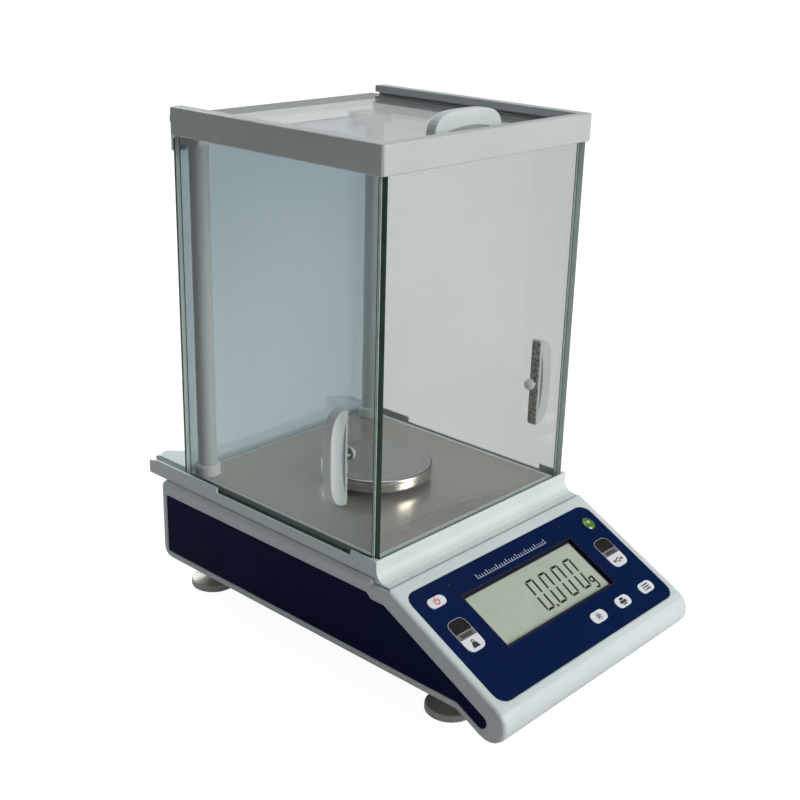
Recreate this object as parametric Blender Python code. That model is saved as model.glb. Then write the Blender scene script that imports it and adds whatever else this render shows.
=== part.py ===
"""Laboratory balance with a sliding glass draught shield.

Units are metres.  +Z is up, the front faces -Y, and the origin is on the table under the
middle of the balance.  Every sub-part is one named object; moving pieces have their origin
on their joint's axis.
"""

import math

import bmesh
import bpy
from mathutils import Vector

# ---------------------------------------------------------------- driving dimensions
GAP = 0.0003                      # clearance between pieces that touch
GLASS = 0.0040                    # door and rear glass thickness
FRONT_GLASS = 0.0045

HOUSING_HALF_W = 0.1023
HOUSING_REAR_Y = 0.1519
HOUSING_TOP_Z = 0.0816
HOUSING_BOTTOM_Z = 0.0207
WALL = 0.0030

CONSOLE_BACK_Y = -0.0741          # where the sloping console starts, at the top
CONSOLE_BACK_Z = 0.0798
CONSOLE_SLOPE = math.radians(26.8)
CONSOLE_LENGTH = 0.0994           # flat part of the slope
NOSE_RADIUS = 0.0133

DECK_TOP_Z = 0.0936
DECK_THICKNESS = 0.0117
DECK_HALF_W = 0.0995
DECK_FRONT_Y = -0.0621
DECK_REAR_Y = 0.1502
EAR_REAR_Y = 0.1700
FLOOR_DROP = 0.0024               # inner deck level below the rim
GROOVE_DEPTH = 0.0060

FRONT_GLASS_Y = -0.0606           # outer face
FRONT_GLASS_HALF_W = 0.0953
DOOR_OUTER_X = 0.0971
DOOR_FRONT_Y = -0.0558
DOOR_REAR_Y = 0.1277
REAR_GLASS_Y = 0.1315
REAR_GLASS_HALF_W = 0.0924

FRAME_HALF_W = 0.1005
FRAME_FRONT_Y = -0.0616
FRAME_REAR_Y = 0.1281
FRAME_BOTTOM_Z = 0.3324
FRAME_TOP_Z = 0.3508
TOP_GLASS_Z = 0.3398              # underside of the top glass
TOP_GLASS = 0.0045
TOP_SLOT_TOP_Z = 0.3460           # underside of the lip that holds the top glass down
DOOR_TOP_Z = 0.3374
TOP_GLASS_HALF_W = 0.0952
TOP_GLASS_REAR_Y = 0.1350

COLUMN_X = 0.0835
COLUMN_Y = 0.1205
COLUMN_RADIUS = 0.0067
COLLAR_RADIUS = 0.0092
COLLAR_HEIGHT = 0.0085
CAP_HEIGHT = 0.0060

PAN_Y = 0.0332
PAN_RADIUS = 0.0400
PAN_TOP_Z = 0.1042
PAN_RIM = 0.0085

HANDLE_LENGTH = 0.0640
HANDLE_DEPTH = 0.0146
HANDLE_WIDTH = 0.0080
HANDLE_STRIP = 0.0020             # straight foot strip below the finger recess
SIDE_HANDLE_Y = -0.0300
SIDE_HANDLE_Z = 0.1549
TOP_HANDLE_Y = -0.0355
STUD_RADIUS = 0.0020

KEYPAD_TOP_S = 0.0085             # distance down the slope from the console's back edge
KEYPAD_LENGTH = 0.0900
KEYPAD_HALF_W = 0.0953
KEYPAD_RECESS = 0.0024
LCD_HALF_W = 0.0567
LCD_TOP_S = 0.0193                # from the keypad's upper edge
LCD_BOTTOM_S = 0.0599
KEY_THICKNESS = 0.0012
KEY_PROUD = 0.0003

FOOT_X = 0.0793
FOOT_Y = (-0.1095, 0.1222)
FOOT_RADIUS = 0.0164
FOOT_PAD_RADIUS = 0.0120
STEM_RADIUS = 0.0040

SIDES = (("left", -1), ("right", 1))
SHARP_ANGLE = math.radians(29)    # edges that bend more than this are drawn sharp


# ---------------------------------------------------------------- modelling helpers
def clear_scene():
    for obj in list(bpy.data.objects):
        bpy.data.objects.remove(obj, do_unlink=True)


def material(name, colour, roughness, metallic=0.0, alpha=1.0):
    mat = bpy.data.materials.new(name)
    mat.use_nodes = True
    shader = mat.node_tree.nodes["Principled BSDF"]
    shader.inputs["Base Color"].default_value = (*colour, 1.0)
    shader.inputs["Roughness"].default_value = roughness
    shader.inputs["Metallic"].default_value = metallic
    shader.inputs["Alpha"].default_value = alpha
    return mat


def add_object(name, bm, mat=None, smooth=False, origin=(0.0, 0.0, 0.0)):
    """Turns a bmesh into an object whose origin is at the given point."""
    bmesh.ops.recalc_face_normals(bm, faces=bm.faces)
    bmesh.ops.translate(bm, verts=bm.verts, vec=-Vector(origin))
    mesh = bpy.data.meshes.new(name)
    bm.to_mesh(mesh)
    bm.free()
    if smooth:
        mesh.shade_smooth()
        mesh.set_sharp_from_angle(angle=SHARP_ANGLE)
    obj = bpy.data.objects.new(name, mesh)
    obj.location = origin
    bpy.context.scene.collection.objects.link(obj)
    if mat:
        mesh.materials.append(mat)
    return obj


def rounded(corners, steps=4):
    """Outline of a polygon given as (u, v, radius) corners; round corners become arcs."""
    outline = []
    count = len(corners)
    for i, (u, v, radius) in enumerate(corners):
        here = Vector((u, v))
        if radius <= 0.0:
            outline.append(here)
            continue
        to_prev = (Vector(corners[i - 1][:2]) - here).normalized()
        to_next = (Vector(corners[(i + 1) % count][:2]) - here).normalized()
        half = to_prev.angle(to_next) / 2.0
        reach = radius / math.tan(half)
        centre = here + (to_prev + to_next).normalized() * (radius / math.sin(half))
        start = here + to_prev * reach - centre
        end = here + to_next * reach - centre
        sweep = start.angle_signed(end)
        for k in range(steps + 1):
            angle = -sweep * k / steps
            turned = Vector((start.x * math.cos(angle) - start.y * math.sin(angle),
                             start.x * math.sin(angle) + start.y * math.cos(angle)))
            outline.append(centre + turned)
    return outline


def rectangle(half_u, half_v, radius=0.0, u=0.0, v=0.0, steps=4):
    return rounded([(u - half_u, v - half_v, radius), (u + half_u, v - half_v, radius),
                    (u + half_u, v + half_v, radius), (u - half_u, v + half_v, radius)], steps)


def inset(outline, distance):
    """The outline moved inwards by a distance, keeping its number of points."""
    count = len(outline)
    area = sum(outline[i - 1].cross(outline[i]) for i in range(count))
    turn = 1.0 if area > 0.0 else -1.0
    moved = []
    for i, here in enumerate(outline):
        before = (here - outline[i - 1]).normalized()
        after = (outline[(i + 1) % count] - here).normalized()
        in_before = Vector((-before.y, before.x)) * turn
        in_after = Vector((-after.y, after.x)) * turn
        moved.append(here + (in_before + in_after) * distance / (1.0 + in_before.dot(in_after)))
    return moved


def prism_mesh(outline, axis, low, high, edge_round=0.0, segments=3):
    """Extrudes an outline along an axis; edge_round softens both end outlines."""
    place = {"X": lambda u, v, w: (w, u, v), "Y": lambda u, v, w: (u, w, v),
             "Z": lambda u, v, w: (u, v, w)}[axis]
    outline = [Vector(point) for point in outline]
    levels = [(low, 0.0), (high, 0.0)]
    if edge_round > 0.0:
        bend = [math.pi / 2.0 * k / segments for k in range(segments + 1)]
        levels = [(low + edge_round * (1.0 - math.cos(a)), edge_round * (1.0 - math.sin(a)))
                  for a in bend]
        levels += [(low + high - w, d) for w, d in reversed(levels)]
    bm = bmesh.new()
    rings = [[bm.verts.new(place(p.x, p.y, w)) for p in inset(outline, d)] for w, d in levels]
    for lower, upper in zip(rings, rings[1:]):
        for i in range(len(outline)):
            bm.faces.new((lower[i - 1], lower[i], upper[i], upper[i - 1]))
    bm.faces.new(rings[0])
    bm.faces.new(rings[-1])
    return bm


def prism(name, outline, axis, low, high, mat=None, edge_round=0.0, origin=(0, 0, 0)):
    return add_object(name, prism_mesh(outline, axis, low, high, edge_round), mat, True, origin)


def block(name, low, high, mat=None, edge_round=0.0, origin=(0, 0, 0)):
    """Axis-aligned box between two corners, with all edges softened if asked."""
    bm = bmesh.new()
    bmesh.ops.create_cube(bm, size=1.0)
    for vert in bm.verts:
        vert.co = [low[k] + (vert.co[k] + 0.5) * (high[k] - low[k]) for k in range(3)]
    if edge_round > 0.0:
        bmesh.ops.bevel(bm, geom=list(bm.edges), offset=edge_round, segments=1,
                        affect="EDGES", profile=0.5)
    return add_object(name, bm, mat, False, origin)


def hull(name, points):
    bm = bmesh.new()
    for point in points:
        bm.verts.new(point)
    bmesh.ops.convex_hull(bm, input=list(bm.verts))
    return add_object(name, bm)


def turned(name, profile, centre, mat=None, sides=40, ripple=0.0):
    """Lathe about Z.  The profile is (radius, z) from axis to axis; ripple knurls it."""
    bm = bmesh.new()
    rings = []
    for radius, z in profile:
        if radius <= 0.0:
            rings.append([bm.verts.new((centre[0], centre[1], centre[2] + z))])
            continue
        ring = []
        for k in range(sides):
            angle = 2.0 * math.pi * k / sides
            here = radius - (ripple if k % 2 and radius > 0.95 * max(profile)[0] else 0.0)
            ring.append(bm.verts.new((centre[0] + here * math.cos(angle),
                                      centre[1] + here * math.sin(angle), centre[2] + z)))
        rings.append(ring)
    for lower, upper in zip(rings, rings[1:]):
        for k in range(sides):
            n = (k + 1) % sides
            if len(lower) == 1:
                bm.faces.new((lower[0], upper[k], upper[n]))
            elif len(upper) == 1:
                bm.faces.new((lower[k], lower[n], upper[0]))
            else:
                bm.faces.new((lower[k], lower[n], upper[n], upper[k]))
    return add_object(name, bm, mat, True, centre)


def boolean(target, tool, operation):
    """Applies an exact Boolean to the target and removes the tool."""
    modifier = target.modifiers.new(operation.lower(), "BOOLEAN")
    modifier.operation = operation
    modifier.solver = "EXACT"
    modifier.object = tool
    tool.hide_render = True
    tool.display_type = "WIRE"
    bpy.context.view_layer.update()
    depsgraph = bpy.context.evaluated_depsgraph_get()
    result = bpy.data.meshes.new_from_object(target.evaluated_get(depsgraph))
    result.shade_smooth()
    result.set_sharp_from_angle(angle=SHARP_ANGLE)
    target.modifiers.clear()
    old = target.data
    target.data = result
    bpy.data.meshes.remove(old)
    bpy.data.objects.remove(tool, do_unlink=True)


def cut(target, *tools):
    for tool in tools:
        boolean(target, tool, "DIFFERENCE")


def join(target, *tools):
    for tool in tools:
        boolean(target, tool, "UNION")


def cut_box(target, low, high):
    cut(target, block("cutter", low, high))


def cut_hole(target, x, y, radius, low, high, sides=32):
    profile = [(0.0, low), (radius, low), (radius, high), (0.0, high)]
    cut(target, turned("cutter", profile, (x, y, 0.0), sides=sides))


def on_console(obj):
    """Puts an object modelled flat (X across, -Y down the slope, Z out) on the console."""
    obj.parent = CONSOLE
    return obj


# ---------------------------------------------------------------- housing
def console_point(s, n):
    """World (y, z) of a point s down the slope and n out of the console's plane."""
    y = CONSOLE_BACK_Y - s * math.cos(CONSOLE_SLOPE) - n * math.sin(CONSOLE_SLOPE)
    z = CONSOLE_BACK_Z - s * math.sin(CONSOLE_SLOPE) + n * math.cos(CONSOLE_SLOPE)
    return y, z


def nose_arc(radius, steps):
    """Half circle from the console's plane round the nose to its underside."""
    centre = Vector(console_point(CONSOLE_LENGTH, -NOSE_RADIUS))
    start = CONSOLE_SLOPE + math.pi / 2.0
    return [centre + radius * Vector((math.cos(start + math.pi * k / steps),
                                      math.sin(start + math.pi * k / steps)))
            for k in range(steps + 1)]


def housing_outline(shrink):
    """Side outline (y, z); a shrunk one is the hollow, which runs out through the bottom."""
    floor = HOUSING_BOTTOM_Z - (WALL if shrink else 0.0)
    step_y = DECK_FRONT_Y + 0.0012 + shrink
    groove_z = 0.0783 - shrink
    arc = nose_arc(NOSE_RADIUS - shrink, 10)
    under = arc[-1]
    knee_y = under.x + (HOUSING_BOTTOM_Z + shrink - under.y) / math.tan(CONSOLE_SLOPE)
    corners = [(HOUSING_REAR_Y - shrink, floor, 0.0 if shrink else 0.0085),
               (HOUSING_REAR_Y - shrink, HOUSING_TOP_Z - shrink, 0.0045),
               (step_y, HOUSING_TOP_Z - shrink, 0.0), (step_y, groove_z, 0.0),
               (CONSOLE_BACK_Y + 0.0004, groove_z, 0.0),
               (*console_point(0.0, -shrink), 0.0)]
    corners += [(p.x, p.y, 0.0) for p in arc]
    if shrink:
        corners += [(knee_y, HOUSING_BOTTOM_Z + shrink, 0.0), (knee_y, floor, 0.0)]
    else:
        corners.append((knee_y, floor, 0.0060))
    return rounded(corners)


def housing(mat):
    width = HOUSING_HALF_W
    shell = prism("base_housing", housing_outline(0.0), "X", -width, width, mat, 0.0032)
    cut(shell, prism("cutter", housing_outline(WALL), "X", WALL - width, width - WALL))
    for _, side in SIDES:
        face = side * width
        panel = prism("cutter", side_panel_outline(0.0), "X",
                      min(face, face - side * 0.0015) - (0.001 if side < 0 else 0.0),
                      max(face, face - side * 0.0015) + (0.001 if side > 0 else 0.0))
        cut(shell, panel)
    recess = rectangle(KEYPAD_HALF_W + GAP, KEYPAD_LENGTH / 2 + GAP, 0.0085, 0.0,
                       -KEYPAD_TOP_S - KEYPAD_LENGTH / 2)
    cut(shell, on_console(prism("cutter", recess, "Z", -KEYPAD_RECESS, 0.004)))
    window = rectangle(LCD_HALF_W + 0.003, 0.0232, 0.001, 0.0,
                       -KEYPAD_TOP_S - (LCD_TOP_S + LCD_BOTTOM_S) / 2)
    cut(shell, on_console(prism("cutter", window, "Z", -0.010, 0.001)))
    well = rectangle(0.0068, 0.0085, 0.0066, LEVEL_X, -KEYPAD_TOP_S - LEVEL_S - 0.0014)
    cut(shell, on_console(prism("cutter", well, "Z", -0.010, 0.001)))
    cut_box(shell, (-REAR_PANEL_HALF_W, 0.140, REAR_PANEL_Z - REAR_PANEL_HALF_H),
            (REAR_PANEL_HALF_W, 0.160, REAR_PANEL_Z + REAR_PANEL_HALF_H))
    cut_hole(shell, 0.0, PAN_Y, 0.0125, 0.060, 0.090)
    return shell


def side_panel_outline(gap):
    """Navy side panel: straight along the body, then a band that follows the console."""
    top, bottom = 0.0718 - gap, 0.0269 + gap
    step_z = 0.0684 - gap
    upper_n, lower_n = -0.0114 - gap, -0.0206 + gap
    slope = math.tan(CONSOLE_SLOPE)
    step_y = CONSOLE_BACK_Y - (CONSOLE_BACK_Z - step_z + upper_n / math.cos(CONSOLE_SLOPE)) / slope
    end_upper = console_point(0.1000, upper_n)
    end_lower = console_point(0.1000, lower_n)
    knee_y = CONSOLE_BACK_Y - (CONSOLE_BACK_Z - bottom + lower_n / math.cos(CONSOLE_SLOPE)) / slope
    tip = (upper_n - lower_n) / 2.0 - 0.0001
    return rounded([(0.1455 - gap, bottom, 0.0012), (0.1455 - gap, top, 0.0012),
                    (-0.0565, top, 0.002), (-0.0605, step_z, 0.002), (step_y, step_z, 0.003),
                    (*end_upper, tip), (*end_lower, tip), (knee_y, bottom, 0.004)], 3)


def side_panels(mat):
    for label, side in SIDES:
        outer = side * (HOUSING_HALF_W - 0.0001)
        inner = side * (HOUSING_HALF_W - 0.0015 + GAP)
        prism(f"side_panel_{label}", side_panel_outline(GAP), "X", min(outer, inner),
              max(outer, inner), mat)


REAR_PANEL_HALF_W = 0.0600
REAR_PANEL_HALF_H = 0.0200
REAR_PANEL_Z = 0.0480
JACK_X = -0.0350
PORT_X = 0.0200


def rear_panel(mat):
    panel = prism("rear_panel", rectangle(REAR_PANEL_HALF_W - GAP, REAR_PANEL_HALF_H - GAP,
                                          0.002, 0.0, REAR_PANEL_Z), "Y",
                  HOUSING_REAR_Y - 0.0028, HOUSING_REAR_Y - 0.0008, mat)
    cut(panel, prism("cutter", rectangle(0.0055, 0.0055, 0.0015, JACK_X, REAR_PANEL_Z), "Y",
                     0.140, 0.160))
    cut(panel, prism("cutter", rectangle(0.0120, 0.0060, 0.002, PORT_X, REAR_PANEL_Z), "Y",
                     0.140, 0.160))


def power_jack(mat):
    jack = prism("power_jack", rectangle(0.0052, 0.0052, 0.0014, JACK_X, REAR_PANEL_Z), "Y",
                 0.1380, HOUSING_REAR_Y - 0.0002, mat)
    socket = prism("cutter", rectangle(0.0029, 0.0029, 0.0029, JACK_X, REAR_PANEL_Z), "Y",
                   0.1430, 0.160)
    cut(jack, socket)
    join(jack, prism("pin", rectangle(0.0011, 0.0011, 0.0011, JACK_X, REAR_PANEL_Z), "Y",
                     0.1410, 0.1500))


def serial_port(mat):
    """Nine-way D connector: a shell with a face of nine small sockets."""
    trapezium = rounded([(PORT_X - 0.0096, REAR_PANEL_Z + 0.0045, 0.0015),
                         (PORT_X - 0.0084, REAR_PANEL_Z - 0.0045, 0.0015),
                         (PORT_X + 0.0084, REAR_PANEL_Z - 0.0045, 0.0015),
                         (PORT_X + 0.0096, REAR_PANEL_Z + 0.0045, 0.0015)])
    port = prism("serial_port", trapezium, "Y", 0.1420, HOUSING_REAR_Y + 0.0030, mat)
    for row, count, drop in ((0, 5, 0.0014), (1, 4, -0.0014)):
        for k in range(count):
            x = PORT_X + (k - (count - 1) / 2.0) * 0.00277
            hole = rectangle(0.0006, 0.0006, 0.0, x, REAR_PANEL_Z + drop)
            cut(port, prism("cutter", hole, "Y", 0.1500, 0.160))


# ---------------------------------------------------------------- base plate and inside
def base_plate(mat):
    """Plate that closes the housing's bottom, with a threaded boss over each foot."""
    low = HOUSING_BOTTOM_Z + 0.0002
    half_w = HOUSING_HALF_W - WALL - GAP
    rear = HOUSING_REAR_Y - WALL - GAP
    front = -0.1270
    plate = prism("base_plate", rectangle(half_w, (rear - front) / 2, 0.002, 0.0,
                                          (rear + front) / 2), "Z", low, low + 0.003, mat)
    for x, y in foot_places():
        boss = [(0.0, low + 0.001), (0.0080, low + 0.001), (0.0080, low + 0.014),
                (0.0, low + 0.014)]
        join(plate, turned("boss", boss, (x, y, 0.0), sides=24))
    for x, y in foot_places():
        cut_hole(plate, x, y, STEM_RADIUS + GAP, 0.0, 0.060, 24)
    cut_hole(plate, 0.0, PAN_Y, HOOK_RADIUS + GAP, 0.0, 0.060, 24)
    for x, y in SCREW_PLACES:
        cut_hole(plate, x, y, 0.0018, 0.0, 0.060, 12)
    return plate


SCREW_PLACES = [(x, y) for y in (-0.0700, 0.1350) for x in (-0.0450, 0.0450)]
HOOK_RADIUS = 0.0080


def base_screws(mat):
    """Pan-head screws up through the base plate."""
    for k, (x, y) in enumerate(SCREW_PLACES):
        face = HOUSING_BOTTOM_Z + 0.0002 - GAP
        profile = [(0.0, face - 0.0018), (0.0026, face - 0.0014), (0.0032, face - 0.0005),
                   (0.0032, face), (0.0015, face), (0.0015, face + 0.010), (0.0, face + 0.010)]
        turned(f"base_screw_{k + 1}", profile, (x, y, 0.0), mat, 16)


def hook_cover(mat):
    """Push-in plug over the opening for weighing below the balance."""
    face = HOUSING_BOTTOM_Z + 0.0002 - GAP
    profile = [(0.0, face - 0.0010), (0.0100, face - 0.0010), (0.0105, face - 0.0005),
               (0.0105, face), (HOOK_RADIUS, face), (HOOK_RADIUS, face + 0.0032),
               (0.0, face + 0.0032)]
    turned("hook_cover", profile, (0.0, PAN_Y, 0.0), mat, 24)


CELL_TOP_Z = 0.0600


def load_cell(mat):
    """Cast frame of the weighing cell, with the slot its arm works in."""
    cell = block("load_cell", (-0.0220, PAN_Y - 0.0250, 0.0245), (0.0220, PAN_Y + 0.0850, CELL_TOP_Z),
                 mat, 0.0010)
    cut_box(cell, (-0.0140, PAN_Y - 0.0300, 0.0310), (0.0140, PAN_Y + 0.0600, 0.0700))


def pan_carrier(mat):
    """Arm of the weighing cell with the stem that holds the pan."""
    arm = block("pan_carrier", (-0.0110, PAN_Y - 0.0120, 0.0360), (0.0110, PAN_Y + 0.0560, 0.0460),
                mat, 0.0008, (0.0, PAN_Y, 0.0))
    stem = [(0.0, 0.0440), (0.0050, 0.0440), (0.0050, 0.0860), (0.0035, 0.0920),
            (0.0035, 0.0985), (0.0, 0.0985)]
    join(arm, turned("stem", stem, (0.0, PAN_Y, 0.0), sides=24))


def pan(mat):
    """Shallow dish with a deep rim and a socket that drops over the carrier's stem."""
    top = PAN_TOP_Z
    radius = PAN_RADIUS
    inner = radius - 0.0012
    profile = [(0.0, top - 0.0016), (radius - 0.0022, top - 0.0016), (radius - 0.0012, top),
               (radius - 0.0004, top), (radius, top - 0.0005), (radius, top - PAN_RIM),
               (inner, top - PAN_RIM), (inner, top - 0.0028), (0.0075, top - 0.0028),
               (0.0070, top - 0.0110), (0.0038, top - 0.0110), (0.0038, top - 0.0053),
               (0.0, top - 0.0053)]
    turned("pan", profile, (0.0, PAN_Y, 0.0), mat, 64)


def boards(mat):
    block("main_board", (-0.0850, -0.0050, 0.0300), (-0.0350, 0.1100, 0.0316), mat)
    height = LCD_BOTTOM_S - LCD_TOP_S
    middle = -KEYPAD_TOP_S - (LCD_TOP_S + LCD_BOTTOM_S) / 2
    board = prism("display_board", rectangle(LCD_HALF_W + 0.002, height / 2 + 0.002, 0.0, 0.0,
                                             middle), "Z", -0.0098, -0.0082, mat)
    on_console(board)


# ---------------------------------------------------------------- console
LEVEL_X = 0.0840
LEVEL_S = 0.0148
LEVEL_RADIUS = 0.0050

# name, x, distance down from the keypad's upper edge, half width, half height, corner radius
KEYS = (("key_power", -0.0776, 0.0134, 0.0076, 0.0038, 0.0037),
        ("key_left", -0.0780, 0.0415, 0.0080, 0.0124, 0.0050),
        ("key_right", 0.0782, 0.0415, 0.0080, 0.0124, 0.0050),
        ("key_front_1", 0.0219, 0.0756, 0.0075, 0.0042, 0.0038),
        ("key_front_2", 0.0501, 0.0756, 0.0075, 0.0042, 0.0038),
        ("key_front_3", 0.0783, 0.0756, 0.0075, 0.0042, 0.0038))


def keypad(mat):
    """Overlay panel with openings for the display, the level and the keys."""
    outline = rectangle(KEYPAD_HALF_W, KEYPAD_LENGTH / 2, 0.0082, 0.0,
                        -KEYPAD_TOP_S - KEYPAD_LENGTH / 2)
    panel = prism("keypad_panel", outline, "Z", GAP - KEYPAD_RECESS, -0.0001, mat)
    lcd = rectangle(LCD_HALF_W + 0.0012, (LCD_BOTTOM_S - LCD_TOP_S) / 2 + 0.0012, 0.0006, 0.0,
                    -KEYPAD_TOP_S - (LCD_TOP_S + LCD_BOTTOM_S) / 2)
    openings = [lcd, rectangle(LEVEL_RADIUS + GAP, LEVEL_RADIUS + 0.0015, LEVEL_RADIUS + GAP,
                                LEVEL_X, -KEYPAD_TOP_S - LEVEL_S - 0.0006)]
    for _, x, s, half_w, half_h, radius in KEYS:
        openings.append(rectangle(half_w + GAP, half_h + GAP, radius + GAP, x,
                                  -KEYPAD_TOP_S - s))
    for outline in openings:
        cut(panel, prism("cutter", outline, "Z", -0.006, 0.004))
    on_console(panel)


def keys(mat):
    for name, x, s, half_w, half_h, radius in KEYS:
        bm = prism_mesh(rectangle(half_w, half_h, radius), "Z", KEY_PROUD - KEY_THICKNESS,
                        KEY_PROUD)
        key = add_object(name, bm, mat, True)
        key.location = (x, -KEYPAD_TOP_S - s, 0.0)
        on_console(key)


def display(bezel_mat, lcd_mat):
    middle = -KEYPAD_TOP_S - (LCD_TOP_S + LCD_BOTTOM_S) / 2
    half_h = (LCD_BOTTOM_S - LCD_TOP_S) / 2
    bezel = prism("display_bezel", rectangle(LCD_HALF_W + 0.0026, half_h + 0.0026, 0.0006, 0.0,
                                             middle), "Z", -0.0050, -KEYPAD_RECESS - 0.0001,
                  bezel_mat)
    cut(bezel, prism("cutter", rectangle(LCD_HALF_W, half_h, 0.0, 0.0, middle), "Z", -0.02, 0.01))
    on_console(bezel)
    on_console(prism("lcd_screen", rectangle(LCD_HALF_W - GAP, half_h - GAP, 0.0, 0.0, middle),
                     "Z", -0.0079, -0.0030, lcd_mat))


def level(cup_mat, vial_mat):
    """Round level: it stands upright in the slope, so its front side stands proud."""
    y, z = console_point(KEYPAD_TOP_S + LEVEL_S, 0.0)
    cup = [(0.0, -0.0130), (0.0064, -0.0130), (0.0064, -0.0070), (0.0054, -0.0070),
           (0.0054, -0.0115), (0.0, -0.0115)]
    turned("level_cup", cup, (LEVEL_X, y, z), cup_mat, 32)
    vial = [(0.0, -0.0112), (LEVEL_RADIUS, -0.0112), (LEVEL_RADIUS, -0.0002),
            (LEVEL_RADIUS - 0.0006, 0.0008), (0.0024, 0.0016), (0.0, 0.0018)]
    turned("level_vial", vial, (LEVEL_X, y, z), vial_mat, 32)


# ---------------------------------------------------------------- deck
def deck(mat):
    """Tray on top of the housing: skirt, door grooves, lowered lips and rear ears."""
    top, bottom = DECK_TOP_Z, DECK_TOP_Z - DECK_THICKNESS
    radius = 0.0078
    centre = (DECK_FRONT_Y - radius, top - 0.0060)
    curve = [(centre[0] + radius * math.cos(a), centre[1] + radius * math.sin(a), 0.0)
             for a in (-math.pi / 12 * k for k in range(1, 7))]
    side = rounded([(DECK_REAR_Y, bottom, 0.0), (DECK_REAR_Y, top, 0.0008),
                    (DECK_FRONT_Y, top, 0.0010), (DECK_FRONT_Y, centre[1], 0.0), *curve,
                    (-0.0728, curve[-1][1], 0.0), (-0.0728, curve[-1][1] - 0.0010, 0.0),
                    (DECK_FRONT_Y + 0.0009, curve[-1][1] - 0.0010, 0.0),
                    (DECK_FRONT_Y + 0.0009, bottom, 0.0)], 2)
    tray = prism("weighing_deck", side, "X", -DECK_HALF_W, DECK_HALF_W, mat, 0.0004)
    for _, side in SIDES:
        w = DECK_HALF_W * side
        ear = rounded([(w, DECK_REAR_Y - 0.008, 0.0), (w, EAR_REAR_Y - 0.002, 0.001),
                       (w - side * 0.0020, EAR_REAR_Y, 0.001),
                       (w - side * 0.0170, EAR_REAR_Y, 0.001),
                       (w - side * 0.0360, DECK_REAR_Y - 0.001, 0.0),
                       (w - side * 0.0360, DECK_REAR_Y - 0.008, 0.0)], 2)
        join(tray, prism("ear", ear, "Z", bottom, top, None, 0.0006))
        out = w + side * 0.001
        cut(tray, hull("cutter", [(out, EAR_REAR_Y - 0.012, top + 0.0001), (out, EAR_REAR_Y + 0.001, top - 0.0034),
                                  (w - side * 0.0165, EAR_REAR_Y + 0.001, top - 0.0001),
                                  (out, EAR_REAR_Y + 0.001, top + 0.004)]))
    inner_x = DOOR_OUTER_X - GLASS - 0.0010
    cut_box(tray, (-inner_x, DECK_FRONT_Y + 0.0062, top - FLOOR_DROP),
            (inner_x, REAR_GLASS_Y - GAP, top + 0.01))
    cut_box(tray, (-PLATE_HALF_W - GAP, PLATE_FRONT_Y - GAP, top - FLOOR_DROP - 0.0010 - GAP),
            (PLATE_HALF_W + GAP, PLATE_REAR_Y + GAP, top + 0.01))
    groove = top - GROOVE_DEPTH
    for _, side in SIDES:
        seat = [(0.0, bottom + 0.002), (COLLAR_RADIUS, bottom + 0.002),
                (COLLAR_RADIUS, top - FLOOR_DROP), (0.0, top - FLOOR_DROP)]
        join(tray, turned("seat", seat, (side * COLUMN_X, COLUMN_Y, 0.0), sides=24))
        xs = sorted((side * (inner_x - 0.0001), side * (DOOR_OUTER_X + 0.0009)))
        cut_box(tray, (xs[0], DOOR_FRONT_Y - 0.0002, groove), (xs[1], EAR_REAR_Y + 0.01, top + 0.01))
        lip = sorted((side * (DOOR_OUTER_X + 0.0004), side * (DECK_HALF_W + 0.001)))
        cut_box(tray, (lip[0], -0.0393, top - 0.0042), (lip[1], 0.0919, top + 0.01))
    cut_box(tray, (-FRONT_GLASS_HALF_W - GAP, FRONT_GLASS_Y - GAP, groove),
            (FRONT_GLASS_HALF_W + GAP, FRONT_GLASS_Y + FRONT_GLASS + GAP, top + 0.01))
    cut_box(tray, (-REAR_GLASS_HALF_W - GAP, REAR_GLASS_Y - 2 * GAP, groove),
            (REAR_GLASS_HALF_W + GAP, REAR_GLASS_Y + GLASS + GAP, top + 0.01))
    cut_hole(tray, 0.0, PAN_Y, 0.0125, 0.070, 0.100)
    return tray


PLATE_HALF_W = 0.0885
PLATE_FRONT_Y = -0.0520
PLATE_REAR_Y = 0.1285


def floor_plate(mat):
    """Brushed steel plate that lies in the deck, notched round the column collars."""
    high = DECK_TOP_Z - FLOOR_DROP
    plate = prism("floor_plate", rectangle(PLATE_HALF_W, (PLATE_REAR_Y - PLATE_FRONT_Y) / 2, 0.002,
                                           0.0, (PLATE_REAR_Y + PLATE_FRONT_Y) / 2, 2), "Z",
                  high - 0.0010, high, mat)
    for _, side in SIDES:
        cut_hole(plate, side * COLUMN_X, COLUMN_Y, COLLAR_RADIUS + GAP, 0.08, 0.10, 24)
    cut_hole(plate, 0.0, PAN_Y, 0.0120, 0.080, 0.100)


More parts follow.
